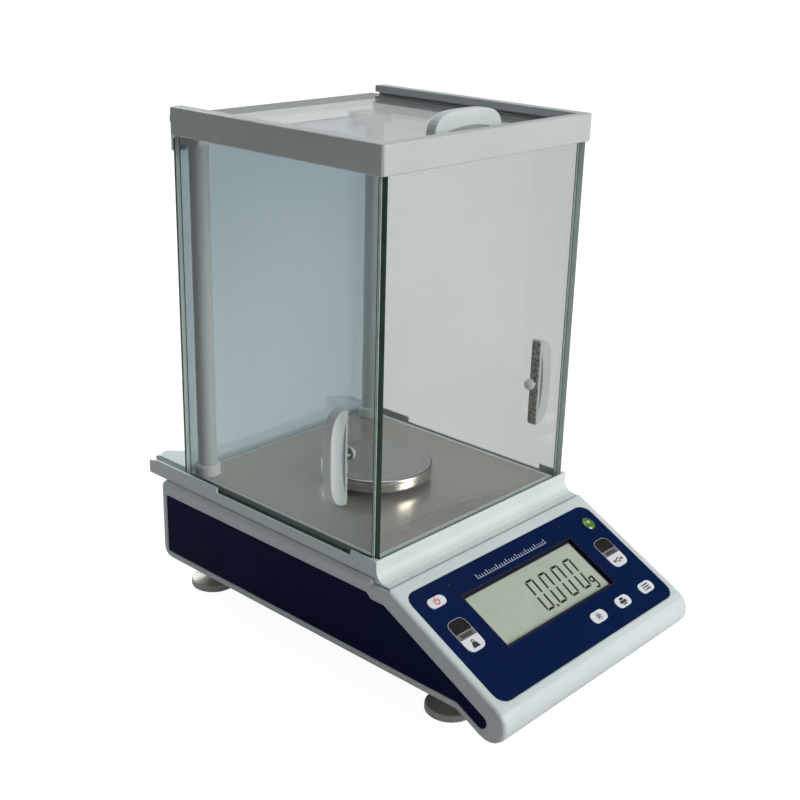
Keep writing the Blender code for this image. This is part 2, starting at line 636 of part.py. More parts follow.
# ---------------------------------------------------------------- draught shield
def top_frame(mat):
    """Front bar and two side rails, with a slot for the top glass and door grooves."""
    outline = rounded([(-FRAME_HALF_W, FRAME_REAR_Y, 0.0016), (-FRAME_HALF_W, FRAME_FRONT_Y, 0.0030),
                       (FRAME_HALF_W, FRAME_FRONT_Y, 0.0030), (FRAME_HALF_W, FRAME_REAR_Y, 0.0016)],
                      3)
    frame = prism("top_frame", outline, "Z", FRAME_BOTTOM_Z, FRAME_TOP_Z, mat, 0.0012)
    behind = FRAME_REAR_Y + 0.02
    cut_box(frame, (-0.0885, -0.0500, 0.30), (0.0885, behind, 0.40))
    cut_box(frame, (-TOP_GLASS_HALF_W - GAP, -0.0556, TOP_GLASS_Z - GAP),
            (TOP_GLASS_HALF_W + GAP, behind, TOP_SLOT_TOP_Z))
    cut_box(frame, (-0.0912, -0.0556, TOP_GLASS_Z), (0.0912, behind, 0.40))
    for _, side in SIDES:
        xs = sorted((side * (DOOR_OUTER_X - GLASS - 0.0007), side * (DOOR_OUTER_X + 0.0007)))
        cut_box(frame, (xs[0], DOOR_FRONT_Y - 0.0002, 0.30), (xs[1], behind, DOOR_TOP_Z + 0.0005))
    cut_box(frame, (-FRONT_GLASS_HALF_W - GAP, FRONT_GLASS_Y - GAP, 0.30),
            (FRONT_GLASS_HALF_W + GAP, FRONT_GLASS_Y + FRONT_GLASS + GAP,
                                                   DOOR_TOP_Z + 0.0005))
    return frame


def columns(metal, plastic):
    """Rear posts: tube, wide foot collar, cap under the rail and clip for the rear glass."""
    foot = DECK_TOP_Z - FLOOR_DROP
    head = FRAME_BOTTOM_Z - CAP_HEIGHT - 2 * GAP
    for label, side in SIDES:
        centre = (side * COLUMN_X, COLUMN_Y, 0.0)
        tube = [(0.0, foot + GAP), (COLUMN_RADIUS, foot + GAP), (COLUMN_RADIUS, head),
                (0.0, head)]
        turned(f"column_{label}", tube, centre, metal, 32)
        ring = [(COLUMN_RADIUS + GAP, foot + GAP), (COLLAR_RADIUS, foot + GAP),
                (COLLAR_RADIUS, foot + COLLAR_HEIGHT - 0.0012),
                (COLLAR_RADIUS - 0.0010, foot + COLLAR_HEIGHT),
                (COLUMN_RADIUS + GAP, foot + COLLAR_HEIGHT)]
        ring_object(f"collar_{label}", ring, centre, plastic)
        xs = sorted((side * 0.0922, side * 0.0730))
        cap = rounded([(xs[0], COLUMN_Y - 0.0098, 0.003), (xs[1], COLUMN_Y - 0.0098, 0.003),
                       (xs[1], COLUMN_Y + 0.0105, 0.001), (xs[0], COLUMN_Y + 0.0105, 0.001)])
        prism(f"column_cap_{label}", cap, "Z", head + GAP, head + GAP + CAP_HEIGHT, plastic)
        clip_low = (xs[0], COLUMN_Y + 0.0105 + GAP, FRAME_BOTTOM_Z - 0.0120)
        clip_high = (xs[1], REAR_GLASS_Y + GLASS + 0.0028, FRAME_BOTTOM_Z - GAP)
        clip = block(f"pane_clip_{label}", clip_low, clip_high, plastic, 0.0005)
        cut_box(clip, (-REAR_GLASS_HALF_W - GAP, REAR_GLASS_Y - GAP, 0.30),
                (REAR_GLASS_HALF_W + GAP, REAR_GLASS_Y + GLASS + GAP, REAR_GLASS_TOP_Z + GAP))


REAR_GLASS_TOP_Z = 0.3290


def ring_object(name, profile, centre, mat, sides=32):
    """Lathe of a closed (radius, z) outline that stays off the axis."""
    bm = bmesh.new()
    rings = []
    for k in range(sides):
        angle = 2.0 * math.pi * k / sides
        rings.append([bm.verts.new((centre[0] + r * math.cos(angle),
                                    centre[1] + r * math.sin(angle), centre[2] + z))
                      for r, z in profile])
    for k in range(sides):
        here, there = rings[k], rings[(k + 1) % sides]
        for i in range(len(profile)):
            j = (i + 1) % len(profile)
            bm.faces.new((here[i], here[j], there[j], there[i]))
    return add_object(name, bm, mat, True, centre)


def pane(name, low, high, mat, origin=(0, 0, 0)):
    return block(name, low, high, mat, 0.0004, origin)


def glazing(mat):
    base = DECK_TOP_Z - GROOVE_DEPTH + 0.0005
    pane("front_glass", (-FRONT_GLASS_HALF_W, FRONT_GLASS_Y, base),
         (FRONT_GLASS_HALF_W, FRONT_GLASS_Y + FRONT_GLASS, DOOR_TOP_Z), mat)
    pane("rear_glass", (-REAR_GLASS_HALF_W, REAR_GLASS_Y, base),
         (REAR_GLASS_HALF_W, REAR_GLASS_Y + GLASS, REAR_GLASS_TOP_Z), mat)
    for label, side in SIDES:
        xs = sorted((side * DOOR_OUTER_X, side * (DOOR_OUTER_X - GLASS)))
        door = pane(f"{label}_door_glass", (xs[0], DOOR_FRONT_Y, base), (xs[1], DOOR_REAR_Y,
                                                                         DOOR_TOP_Z), mat)
        hole = rectangle(STUD_RADIUS + GAP, STUD_RADIUS + GAP, STUD_RADIUS + GAP, SIDE_HANDLE_Y,
                         SIDE_HANDLE_Z)
        cut(door, prism("cutter", hole, "X", xs[0] - 0.01, xs[1] + 0.01))
    lid = pane("top_door_glass", (-TOP_GLASS_HALF_W, -0.0553, TOP_GLASS_Z),
               (TOP_GLASS_HALF_W, TOP_GLASS_REAR_Y, TOP_GLASS_Z + TOP_GLASS), mat)
    cut_hole(lid, 0.0, TOP_HANDLE_Y, STUD_RADIUS + GAP, 0.33, 0.36, 16)


def handle_outline():
    """D-shaped side view of a handle: straight foot and a full bow (along, depth)."""
    half = HANDLE_LENGTH / 2.0
    steps = 20
    bow = []
    for k in range(steps + 1):
        t = math.cos(math.pi * k / steps)
        depth = 0.0012 + (HANDLE_DEPTH - 0.0012) * (1.0 - abs(t) ** 4) ** 0.45
        bow.append((half * t, depth))
    return [(-half, 0.0), (half, 0.0), *bow]


def handles(mat, nut_mat):
    """Three equal handles, each clamped through its glass by a cap nut and stud."""
    for label, side in SIDES:
        place = (side * (DOOR_OUTER_X + GAP), SIDE_HANDLE_Y, SIDE_HANDLE_Z)
        grip = upright_handle(f"{label}_door_handle", mat)
        nut = cap_nut(f"{label}_door_nut", nut_mat)
        for piece in (grip, nut):
            piece.rotation_euler = (0.0, side * math.pi / 2.0, 0.0)
            piece.location = place
    place = (0.0, TOP_HANDLE_Y, TOP_GLASS_Z + TOP_GLASS + GAP)
    upright_handle("top_door_handle", mat).location = place
    cap_nut("top_door_nut", nut_mat, TOP_GLASS).location = place


def upright_handle(name, mat):
    """Handle standing on the XY plane, its length along X, drilled for the stud."""
    half_w = HANDLE_WIDTH / 2.0
    grip = prism(name, handle_outline(), "Y", -half_w, half_w, mat, 0.0008)
    reach = 0.36 * HANDLE_LENGTH
    crescent = [(reach, HANDLE_STRIP), (-reach, HANDLE_STRIP)]
    for k in range(1, 10):
        t = -1.0 + 0.2 * k
        crescent.append((reach * t, HANDLE_STRIP + 0.0030 * (1.0 - t * t)))
    for side in (-1.0, 1.0):
        depths = sorted((side * (half_w - 0.0009), side * (half_w + 0.0010)))
        cut(grip, prism("cutter", crescent, "Y", *depths))
    cut_hole(grip, 0.0, 0.0, STUD_RADIUS + GAP, -0.01, 0.0060, 16)
    return grip


def cap_nut(name, mat, glass=GLASS):
    """Cap nut under the glass with its stud going up into the handle."""
    under = -glass - 2 * GAP
    profile = [(0.0, under - 0.0045), (0.0026, under - 0.0040), (0.0040, under - 0.0022),
               (0.0042, under), (STUD_RADIUS, under), (STUD_RADIUS, 0.0050), (0.0, 0.0050)]
    return turned(name, profile, (0.0, 0.0, 0.0), mat, 24)


# ---------------------------------------------------------------- feet
def foot_places():
    return [(x, y) for y in FOOT_Y for x in (-FOOT_X, FOOT_X)]


FOOT_NAMES = ("front_left", "front_right", "rear_left", "rear_right")


def feet(metal, pad_mat):
    """Knurled foot screws, each turning on a soft pad that stays still on the table."""
    for name, (x, y) in zip(FOOT_NAMES, foot_places()):
        pad = [(0.0, 0.0), (FOOT_PAD_RADIUS - 0.0004, 0.0), (FOOT_PAD_RADIUS, 0.0004),
               (FOOT_PAD_RADIUS, 0.0014), (0.0, 0.0014)]
        turned(f"foot_pad_{name}", pad, (x, y, 0.0), pad_mat, 32)
        ceiling = 0.0014 + GAP
        screw = [(0.0, ceiling), (FOOT_PAD_RADIUS + GAP, ceiling), (FOOT_PAD_RADIUS + GAP, 0.0004),
                 (FOOT_RADIUS - 0.0006, 0.0004), (FOOT_RADIUS, 0.0010), (FOOT_RADIUS, 0.0048),
                 (FOOT_RADIUS - 0.0010, 0.0055), (0.0080, 0.0068), (STEM_RADIUS, 0.0072),
                 (STEM_RADIUS, 0.0440), (0.0, 0.0440)]
        turned(f"foot_screw_{name}", screw, (x, y, 0.0), metal, 48, 0.0004)


# ---------------------------------------------------------------- assembly
clear_scene()
CONSOLE = bpy.data.objects.new("console_frame", None)
CONSOLE.location = (0.0, CONSOLE_BACK_Y, CONSOLE_BACK_Z)
CONSOLE.rotation_euler = (CONSOLE_SLOPE, 0.0, 0.0)
bpy.context.scene.collection.objects.link(CONSOLE)
bpy.context.view_layer.update()

HOUSING_GREY = material("housing_grey", (0.70, 0.73, 0.75), 0.40)
DECK_GREY = material("deck_grey", (0.62, 0.65, 0.65), 0.42)
NAVY = material("navy_panel", (0.010, 0.018, 0.055), 0.35)
KEYPAD_NAVY = material("keypad_navy", (0.008, 0.035, 0.140), 0.40)
STEEL = material("brushed_steel", (0.56, 0.55, 0.53), 0.32, 1.0)
POLISHED = material("polished_steel", (0.66, 0.65, 0.63), 0.15, 1.0)
GLASS_MAT = material("clear_glass", (0.86, 0.93, 0.92), 0.03, 0.0, 0.35)
FRAME_GREY = material("frame_grey", (0.60, 0.64, 0.67), 0.40)
WHITE = material("white_plastic", (0.80, 0.84, 0.84), 0.35)
BLACK = material("black_plastic", (0.02, 0.02, 0.02), 0.45)
LCD = material("lcd", (0.36, 0.40, 0.32), 0.25)
GREEN = material("level_green", (0.30, 0.45, 0.15), 0.10)
BOARD = material("circuit_board", (0.02, 0.16, 0.07), 0.50)
RUBBER = material("foot_rubber", (0.03, 0.03, 0.03), 0.80)

housing(HOUSING_GREY)
side_panels(NAVY)
rear_panel(BLACK)
power_jack(BLACK)
serial_port(POLISHED)
base_plate(STEEL)
base_screws(POLISHED)
hook_cover(BLACK)
load_cell(STEEL)
pan_carrier(STEEL)
pan(POLISHED)
boards(BOARD)
keypad(KEYPAD_NAVY)
keys(WHITE)
display(BLACK, LCD)
level(WHITE, GREEN)
deck(DECK_GREY)
floor_plate(STEEL)
top_frame(FRAME_GREY)
columns(FRAME_GREY, WHITE)
glazing(GLASS_MAT)
handles(WHITE, WHITE)
feet(POLISHED, RUBBER)
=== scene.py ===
"""Looks of the laboratory balance: procedural materials, finer pieces, light and camera.

Units are metres, +Z is up and the front faces -Y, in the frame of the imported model.
"""

import math

import bmesh
import bpy
from mathutils import Matrix, Vector


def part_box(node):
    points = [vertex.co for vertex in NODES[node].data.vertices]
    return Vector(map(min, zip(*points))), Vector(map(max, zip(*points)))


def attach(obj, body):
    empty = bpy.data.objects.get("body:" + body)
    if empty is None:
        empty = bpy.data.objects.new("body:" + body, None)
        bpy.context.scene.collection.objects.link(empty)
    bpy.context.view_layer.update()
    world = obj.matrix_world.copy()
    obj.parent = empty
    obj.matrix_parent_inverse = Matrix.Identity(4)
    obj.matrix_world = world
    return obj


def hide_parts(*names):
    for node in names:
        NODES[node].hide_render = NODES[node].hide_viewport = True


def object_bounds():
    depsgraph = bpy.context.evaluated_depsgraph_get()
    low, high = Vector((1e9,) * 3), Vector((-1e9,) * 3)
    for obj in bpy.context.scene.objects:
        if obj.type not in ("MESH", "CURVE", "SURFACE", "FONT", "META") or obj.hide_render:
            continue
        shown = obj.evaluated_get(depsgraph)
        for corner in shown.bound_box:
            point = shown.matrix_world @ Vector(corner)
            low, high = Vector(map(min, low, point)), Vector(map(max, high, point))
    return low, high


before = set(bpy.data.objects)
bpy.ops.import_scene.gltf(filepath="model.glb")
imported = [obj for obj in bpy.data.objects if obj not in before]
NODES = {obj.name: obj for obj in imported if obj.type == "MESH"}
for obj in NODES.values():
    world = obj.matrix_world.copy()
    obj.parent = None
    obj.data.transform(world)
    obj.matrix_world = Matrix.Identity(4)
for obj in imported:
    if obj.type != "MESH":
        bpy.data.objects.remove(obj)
CAD_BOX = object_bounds()
PRINT = 0.00006                   # thickness of printed ink
SLOPE = math.radians(26.8)        # tilt of the console
CONSOLE_BACK = Vector((0.0, -0.0741, 0.0798))   # upper edge of the slope, as in the CAD
KEYPAD_TOP_S = 0.0085             # from that edge down to the keypad
FEET = ("front_left", "front_right", "rear_left", "rear_right")


# ---------------------------------------------------------------- materials
def srgb(red, green, blue):
    """Linear colour of a display colour given in 0-255."""
    out = []
    for value in (red, green, blue):
        value /= 255.0
        out.append(value / 12.92 if value <= 0.04045 else ((value + 0.055) / 1.055) ** 2.4)
    return (*out, 1.0)


def scaled(colour, factor):
    return (*(min(1.0, c * factor) for c in colour[:3]), 1.0)


class Surface:
    """Node material with short calls for the nodes that repeat."""

    def __init__(self, name):
        self.data = bpy.data.materials.new(name)
        self.data.use_nodes = True
        self.tree = self.data.node_tree
        self.shader = self.tree.nodes["Principled BSDF"]
        self.output = self.tree.nodes["Material Output"]
        self.coords = self.node("ShaderNodeTexCoord").outputs["Object"]

    def node(self, kind, inputs=None, **settings):
        made = self.tree.nodes.new(kind)
        for name, value in settings.items():
            setattr(made, name, value)
        for key, value in (inputs or {}).items():
            if isinstance(value, bpy.types.NodeSocket):
                self.tree.links.new(value, made.inputs[key])
            else:
                made.inputs[key].default_value = value
        return made

    def noise(self, scale, detail=3.0, stretch=(1.0, 1.0, 1.0)):
        place = self.node("ShaderNodeMapping", {"Vector": self.coords, "Scale": stretch})
        inputs = {"Vector": place.outputs["Vector"], "Scale": scale, "Detail": detail}
        return self.node("ShaderNodeTexNoise", inputs).outputs["Fac"]

    def math(self, operation, a, b=0.0, clamp=False):
        return self.node("ShaderNodeMath", {0: a, 1: b}, operation=operation,
                         use_clamp=clamp).outputs[0]

    def band(self, value, low, high, to_low=0.0, to_high=1.0):
        inputs = {0: value, 1: low, 2: high, 3: to_low, 4: to_high}
        return self.node("ShaderNodeMapRange", inputs).outputs[0]

    def mix(self, factor, a, b):
        inputs = {0: factor, 6: a, 7: b}
        return self.node("ShaderNodeMix", inputs, data_type="RGBA").outputs[2]

    def axis(self, index, source=None):
        split = self.node("ShaderNodeSeparateXYZ", {0: source or self.coords})
        return split.outputs[index]

    def facing(self, index):
        """How far the true normal lies along one axis, 0 to 1."""
        normal = self.node("ShaderNodeNewGeometry").outputs["True Normal"]
        return self.math("ABSOLUTE", self.axis(index, normal))

    def worn_edges(self, radius):
        """Mask of convex and concave edges, broken up by noise."""
        soft = self.node("ShaderNodeBevel", {"Radius": radius}, samples=4).outputs[0]
        hard = self.node("ShaderNodeNewGeometry").outputs["Normal"]
        dot = self.node("ShaderNodeVectorMath", {0: soft, 1: hard}, operation="DOT_PRODUCT")
        edge = self.band(dot.outputs["Value"], 0.995, 0.85)
        return self.math("MULTIPLY", edge, self.band(self.noise(420.0), 0.35, 0.65), True)

    def relief(self, *layers, radius=0.0004):
        """Bump from (height, strength, distance) layers over softly rounded edges."""
        normal = self.node("ShaderNodeBevel", {"Radius": radius}, samples=4).outputs[0]
        for height, strength, distance in layers:
            inputs = {"Height": height, "Strength": strength, "Distance": distance,
                      "Normal": normal}
            normal = self.node("ShaderNodeBump", inputs).outputs["Normal"]
        self.set("Normal", normal)

    def set(self, socket, value):
        if isinstance(value, bpy.types.NodeSocket):
            self.tree.links.new(value, self.shader.inputs[socket])
        else:
            self.shader.inputs[socket].default_value = value


def moulded(name, colour, roughness=0.42, grain=1500.0, depth=0.00003, wear=1.12, blotch=0.05,
            specular=0.5, soften=0.0004):
    """Moulded plastic: faint mottling, fine texture, edges rubbed lighter and smoother."""
    m = Surface(name)
    broad = m.noise(16.0, 4.0)
    fine = m.noise(grain, 2.0)
    base = m.mix(m.band(broad, 0.3, 0.7), scaled(colour, 1.0 - blotch), scaled(colour, 1.0 + blotch))
    base = m.mix(m.math("MULTIPLY", fine, 0.12), base, scaled(colour, 0.75))
    edge = m.worn_edges(0.0010)
    m.set("Base Color", m.mix(m.math("MULTIPLY", edge, 0.6), base, scaled(colour, wear)))
    rough = m.math("ADD", m.band(m.noise(60.0), 0.2, 0.8, roughness - 0.06, roughness + 0.08),
                   m.math("MULTIPLY", edge, -0.08))
    m.set("Roughness", rough)
    m.set("Specular IOR Level", specular)
    m.relief((fine, 0.35, depth), (broad, 0.10, 0.0002), radius=soften)
    return m.data


def brushed(name, colour, roughness, stretch, strength=0.25, blotch=0.10, metallic=1.0):
    """Brushed metal: long fine scratches across one direction, with cloudy tarnish."""
    m = Surface(name)
    lines = m.noise(1.0, 3.0, stretch)
    scuffs = m.noise(1.0, 2.0, tuple(0.22 * s for s in stretch))
    cloud = m.noise(22.0, 4.0)
    base = m.mix(m.band(lines, 0.3, 0.7), scaled(colour, 0.92), scaled(colour, 1.06))
    base = m.mix(m.band(cloud, 0.35, 0.7, 0.0, blotch * 3), base, scaled(colour, 0.78))
    edge = m.worn_edges(0.0007)
    m.set("Base Color", m.mix(m.math("MULTIPLY", edge, 0.5), base, scaled(colour, 1.25)))
    m.set("Metallic", metallic)
    dull = m.band(scuffs, 0.25, 0.75, roughness - blotch * 0.4, roughness + blotch * 0.6)
    m.set("Roughness", m.math("ADD", dull, m.math("MULTIPLY", edge, -0.05)))
    m.relief((lines, strength, 0.00003), radius=0.0003)
    return m.data


def turned_metal(name, colour, roughness, centre, metallic=1.0):
    """Lathe-turned metal: fine rings round an upright axis through centre."""
    m = Surface(name)
    shift = m.node("ShaderNodeVectorMath", {0: m.coords, 1: (centre[0], centre[1], 0.0)},
                   operation="SUBTRACT").outputs["Vector"]
    flat = m.node("ShaderNodeVectorMath", {0: shift, 1: (1.0, 1.0, 0.0)}, operation="MULTIPLY")
    radius = m.node("ShaderNodeVectorMath", {0: flat.outputs["Vector"]}, operation="LENGTH")
    spread = m.node("ShaderNodeCombineXYZ", {0: radius.outputs["Value"], 2: m.axis(2)})
    rings = m.node("ShaderNodeTexNoise", {"Vector": spread.outputs[0], "Scale": 3200.0,
                                          "Detail": 3.0}).outputs["Fac"]
    cloud = m.noise(40.0, 3.0)
    base = m.mix(m.band(rings, 0.3, 0.7), scaled(colour, 0.86), scaled(colour, 1.10))
    m.set("Base Color", m.mix(m.band(cloud, 0.4, 0.75, 0.0, 0.25), base, scaled(colour, 0.8)))
    m.set("Metallic", metallic)
    m.set("Roughness", m.band(cloud, 0.25, 0.75, roughness - 0.05, roughness + 0.06))
    m.relief((rings, 0.12, 0.00002), radius=0.0003)
    return m.data


def pane_glass(name, axis, tint, pale=None, painted_veil=None):
    """Float glass whose big faces lie across one axis, with green ground edges.

    pale is (axis, lowest x): edges that face that axis beyond that x are lighter between dark
    arrises, partly the ground edge's own paler tone and partly painted light for edges that sit in
    shade.  painted_veil is (low z, high z, low colour, high colour, share) of a pale veil over the
    pane, a painted reflection."""
    m = Surface(name)
    streak = m.band(m.noise(90.0, 2.0), 0.3, 0.7)
    green = m.mix(streak, srgb(8, 52, 32), srgb(22, 80, 54))
    # Painted light: the paler middle of these edges is brightened beyond the ground edge's own tone
    # because the edges sit in shade.
    if pale:
        middle = m.math("MULTIPLY", m.math("GREATER_THAN", m.facing(pale[0]), 0.95),
                        m.math("GREATER_THAN", m.axis(0), pale[1]))
        green = m.mix(middle, green, m.mix(streak, srgb(196, 216, 208), srgb(218, 234, 228)))
    m.set("Base Color", green)
    m.set("Roughness", m.band(m.noise(900.0), 0.3, 0.7, 0.24, 0.40))
    film = m.band(m.noise(9.0, 4.0), 0.35, 0.75, 1.0, 0.98)
    lamp = m.node("ShaderNodeLightPath").outputs["Is Shadow Ray"]
    seen = m.mix(lamp, m.mix(film, srgb(0, 0, 0), tint), (0.97, 0.98, 0.98, 1.0))
    clear = m.node("ShaderNodeBsdfTransparent", {"Color": seen})
    behind = clear.outputs[0]
    # Painted reflection: a pale lit veil, diffuse and translucent, lies over the pane for the bright
    # reflection it shows; its colour shifts with height.
    if painted_veil:
        cloud = m.band(m.noise(7.0, 3.0), 0.3, 0.7, -0.08, 0.08)
        height = m.math("ADD", m.band(m.axis(2), painted_veil[0], painted_veil[1]), cloud, True)
        veil_colour = m.mix(height, painted_veil[2], painted_veil[3])
        front = m.node("ShaderNodeBsdfDiffuse", {"Color": veil_colour, "Roughness": 0.5}).outputs[0]
        through = m.node("ShaderNodeBsdfTranslucent", {"Color": veil_colour}).outputs[0]
        veil = m.node("ShaderNodeMixShader", {0: 0.5, 1: front, 2: through}).outputs[0]
        behind = m.node("ShaderNodeMixShader", {0: painted_veil[4], 1: behind, 2: veil}).outputs[0]
    smear = m.band(m.noise(12.0, 2.0), 0.3, 0.8, 0.02, 0.04)
    shine = m.node("ShaderNodeBsdfGlossy", {"Color": (1.0, 1.0, 1.0, 1.0), "Roughness": smear})
    grazing = m.node("ShaderNodeLayerWeight", {"Blend": 0.5}).outputs["Facing"]
    fresnel = m.band(m.math("POWER", grazing, 5.0), 0.0, 1.0, 0.035, 0.9)
    face = m.node("ShaderNodeMixShader", {0: fresnel, 1: behind, 2: shine.outputs[0]}).outputs[0]
    flat = m.math("GREATER_THAN", m.facing(axis), 0.9)
    both = m.node("ShaderNodeMixShader", {0: flat, 1: m.shader.outputs[0], 2: face}).outputs[0]
    m.tree.links.new(both, m.output.inputs["Surface"])
    return m.data


def handle_plastic(name, centre_y, colour):
    """White handle whose finger recesses are painted a greyer tone, a painted shade, and made duller.
    """
    m = Surface(name)
    side = m.math("ABSOLUTE", m.math("SUBTRACT", m.axis(1), centre_y))
    recess_shade_and_dull = m.math("MULTIPLY", m.math("LESS_THAN", side, 0.0035),
                  m.math("GREATER_THAN", m.facing(1), 0.9))
    broad = m.noise(30.0)
    base = m.mix(m.band(broad, 0.3, 0.7), scaled(colour, 0.95), colour)
    # Painted shade: the floors of the finger recesses are painted grey where shade falls in them.
    base = m.mix(m.math("MULTIPLY", recess_shade_and_dull, 0.9), base, srgb(150, 156, 158))
    edge = m.worn_edges(0.0008)
    m.set("Base Color", m.mix(m.math("MULTIPLY", edge, 0.5), base, scaled(colour, 1.08)))
    m.set("Roughness", m.math("ADD", m.band(broad, 0.2, 0.8, 0.26, 0.36),
                              m.math("MULTIPLY", recess_shade_and_dull, 0.25)))
    m.relief((m.noise(1700.0), 0.2, 0.00002))
    return m.data


def ink(name, colour, roughness=0.5):
    """Screen-printed ink: slightly uneven cover."""
    m = Surface(name)
    cover = m.noise(700.0, 3.0)
    m.set("Base Color", m.mix(m.band(cover, 0.3, 0.7), scaled(colour, 0.88), scaled(colour, 1.1)))
    m.set("Roughness", m.band(cover, 0.2, 0.8, roughness - 0.05, roughness + 0.08))
    m.relief((cover, 0.2, 0.00001), radius=0.00003)
    return m.data


def glossy(name, colour, roughness, dark):
    """Smooth glossy surface that turns darker towards one corner of its cloudiness."""
    m = Surface(name)
    cloud = m.noise(120.0, 3.0)
    m.set("Base Color", m.mix(m.band(cloud, 0.3, 0.7), colour, dark))
    m.set("Roughness", m.band(m.noise(300.0), 0.2, 0.8, roughness, roughness + 0.08))
    m.set("Coat Weight", 0.8)
    m.relief((cloud, 0.05, 0.00002), radius=0.0001)
    return m.data


# ---------------------------------------------------------------- mesh helpers
def piece(name, bm, mats, body, smooth=None, hides=()):
    """Turns a bmesh in world coordinates into a piece that rides on a CAD body."""
    bmesh.ops.recalc_face_normals(bm, faces=bm.faces)
    mesh = bpy.data.meshes.new(name)
    bm.to_mesh(mesh)
    bm.free()
    for mat in mats:
        mesh.materials.append(mat)
    if smooth is not None:
        mesh.shade_smooth()
        mesh.set_sharp_from_angle(angle=math.radians(smooth))
    obj = bpy.data.objects.new(name, mesh)
    bpy.context.scene.collection.objects.link(obj)
    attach(obj, body)
    if hides:
        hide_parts(*hides)
    return obj


def rounded(corners, steps=6):
    """Outline of a polygon given as (u, v, radius) corners."""
    outline = []
    count = len(corners)
    for i, (u, v, radius) in enumerate(corners):
        here = Vector((u, v))
        before = (Vector(corners[i - 1][:2]) - here).normalized()
        after = (Vector(corners[(i + 1) % count][:2]) - here).normalized()
        half = before.angle(after) / 2.0
        if radius <= 0.0:
            outline.append((u, v))
            continue
        reach = radius / math.tan(half)
        centre = here + (before + after).normalized() * (radius / math.sin(half))
        start = (here + before * reach - centre).normalized()
        finish = (here + after * reach - centre).normalized()
        for k in range(steps + 1):
            point = centre + start.slerp(finish, k / steps) * radius
            outline.append((point.x, point.y))
    return outline


def oblong(u, v, half_u, half_v, radius=0.0, steps=6):
    corners = [(u - half_u, v - half_v, radius), (u + half_u, v - half_v, radius),
               (u + half_u, v + half_v, radius), (u - half_u, v + half_v, radius)]
    return rounded(corners, steps)


def arc_band(u, v, outer, inner, start=0.0, sweep=2.0 * math.pi, steps=20):
    """Quads of a ring or arc, as a list of four-point outlines."""
    quads = []
    for k in range(steps):
        a = start + sweep * k / steps
        b = start + sweep * (k + 1) / steps
        quads.append([(u + r * math.cos(t), v + r * math.sin(t))
                      for r, t in ((outer, a), (outer, b), (inner, b), (inner, a))])
    return quads


def console_point(u, s, n):
    """World point for x, distance down from the keypad's top edge, and height off the slope."""
    down = KEYPAD_TOP_S + s
    return CONSOLE_BACK + Vector((u, -down * math.cos(SLOPE) - n * math.sin(SLOPE),
                                  -down * math.sin(SLOPE) + n * math.cos(SLOPE)))


def add_prism(bm, outline, low, high, place):
    """Closed prism of an outline between two heights, each point mapped by place(u, v, n)."""
    lower = [bm.verts.new(place(u, v, low)) for u, v in outline]
    upper = [bm.verts.new(place(u, v, high)) for u, v in outline]
    bm.faces.new(lower)
    bm.faces.new(list(reversed(upper)))
    count = len(outline)
    for i in range(count):
        j = (i + 1) % count
        bm.faces.new((lower[i], upper[i], upper[j], lower[j]))


def printed(name, outlines, level, mat, body):
    """Ink printed on a surface of the console at a level off the slope."""
    bm = bmesh.new()
    for outline in outlines:
        add_prism(bm, outline, level, level + PRINT, console_point)
    return piece(name, bm, [mat], body)


def lathe(bm, profile, centre, sides, ripple=None):
    """Turns a (radius, z) profile; ripple(i, k) gives a radius change at a point and angle."""
    rings = []
    for i, (radius, z) in enumerate(profile):
        if radius == 0.0:
            rings.append([bm.verts.new((centre[0], centre[1], centre[2] + z))])
            continue
        ring = []
        for k in range(sides):
            angle = 2.0 * math.pi * k / sides
            r = radius + (ripple(i, k) if ripple else 0.0)
            ring.append(bm.verts.new((centre[0] + r * math.cos(angle),
                                      centre[1] + r * math.sin(angle), centre[2] + z)))
        rings.append(ring)
    for near, far in zip(rings, rings[1:]):
        for k in range(sides):
            j = (k + 1) % sides
            quad = [near[k % len(near)], near[j % len(near)], far[j % len(far)], far[k % len(far)]]
            quad = list(dict.fromkeys(quad))
            bm.faces.new(quad)


def paint(node, mat):
    """Gives a carried-over CAD node a procedural material."""
    slots = NODES[node].data.materials
    slots.clear()
    slots.append(mat)


# ---------------------------------------------------------------- carried-over CAD nodes
HOUSING = moulded("housing_moulded", srgb(204, 213, 214), 0.42, 1500.0, 0.00004, 1.08, 0.04,
                  0.5, 0.0022)
DECK = moulded("deck_moulded", srgb(210, 220, 219), 0.44, 1300.0, 0.00004)
FRAME = moulded("frame_coated", srgb(184, 190, 190), 0.42, 1100.0, 0.00004)
NAVY = moulded("navy_moulded", srgb(0, 14, 58), 0.46, 900.0, 0.00005, 1.5, 0.10, 0.06)
KEYPAD = moulded("keypad_film", srgb(0, 24, 68), 0.46, 2100.0, 0.00002, 1.5, 0.06, 0.10)
WHITE = moulded("white_moulded", srgb(228, 232, 232), 0.32, 1700.0, 0.00002)
COLLAR = moulded("collar_white", srgb(238, 244, 244), 0.36, 1500.0, 0.00003)
FILM = moulded("key_film", srgb(222, 226, 230), 0.36, 2400.0, 0.00001)
BLACK = moulded("black_moulded", srgb(24, 24, 26), 0.46, 900.0, 0.00005, 2.2, 0.12)
RUBBER = moulded("rubber_black", srgb(34, 34, 36), 0.78, 700.0, 0.00008, 1.6, 0.15, 0.3)
TUBE = moulded("column_coated", srgb(214, 222, 222), 0.36, 1500.0, 0.00002)
PLATE = brushed("plate_brushed", srgb(202, 194, 182), 0.23, (5200.0, 90.0, 5200.0), 0.08, 0.05,
                0.65)
BASE_METAL = brushed("base_brushed", srgb(176, 176, 174), 0.42, (14.0, 1800.0, 1800.0))
CELL = brushed("cell_milled", srgb(188, 190, 192), 0.36, (900.0, 20.0, 900.0))
SCREWS = brushed("screw_plated", srgb(190, 190, 188), 0.26, (60.0, 60.0, 2200.0), 0.15)
BOARD = moulded("board_lacquered", srgb(22, 84, 50), 0.36, 400.0, 0.00006, 1.5, 0.20)
LCD = glossy("lcd_cell", srgb(184, 196, 180), 0.26, srgb(178, 190, 174))

